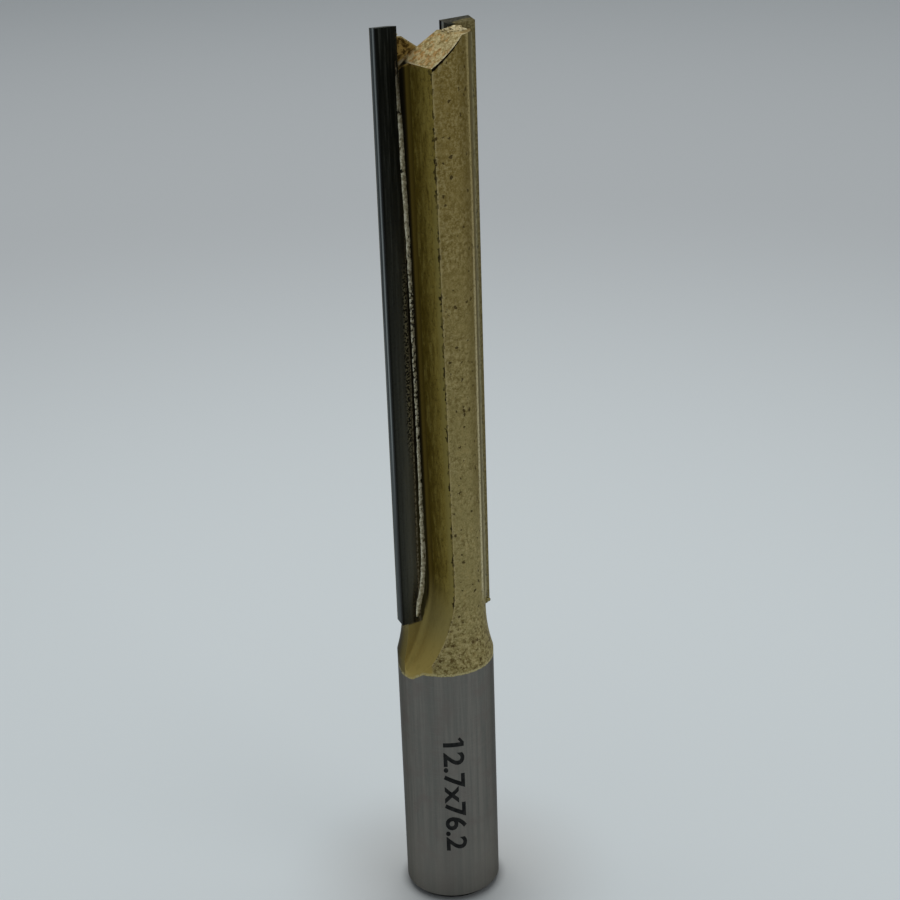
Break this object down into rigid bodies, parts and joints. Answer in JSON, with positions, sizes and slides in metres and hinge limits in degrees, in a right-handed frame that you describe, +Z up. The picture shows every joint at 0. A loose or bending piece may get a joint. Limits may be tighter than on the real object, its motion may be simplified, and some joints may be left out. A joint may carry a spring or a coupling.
{
  "type": "straight router bit",
  "caption": "Long straight router bit with a plain round shank, an open-fluted body and brazed carbide cutting tips.",
  "frame": {"origin": "centre of the flat end of the shank", "axes": "+Z up the axis of the bit towards the cutting end, +X towards the cutting edge of the wider tip, carbide_tip_a"},
  "size_m": [0.0126, 0.0126, 0.1175],
  "materials": {
    "tool_steel": "bare ground shank, gold-coloured paint on the body and the flutes",
    "carbide": "dark grey, finely ground",
    "braze": "dull, partly ground bright and partly painted over"
  },
  "bodies": {
    "root": {"bit_body": "tool_steel", "carbide_tip_a": "carbide", "carbide_tip_b": "carbide", "braze_seam_a": "braze", "braze_seam_b": "braze"}
  },
  "joints": []
}
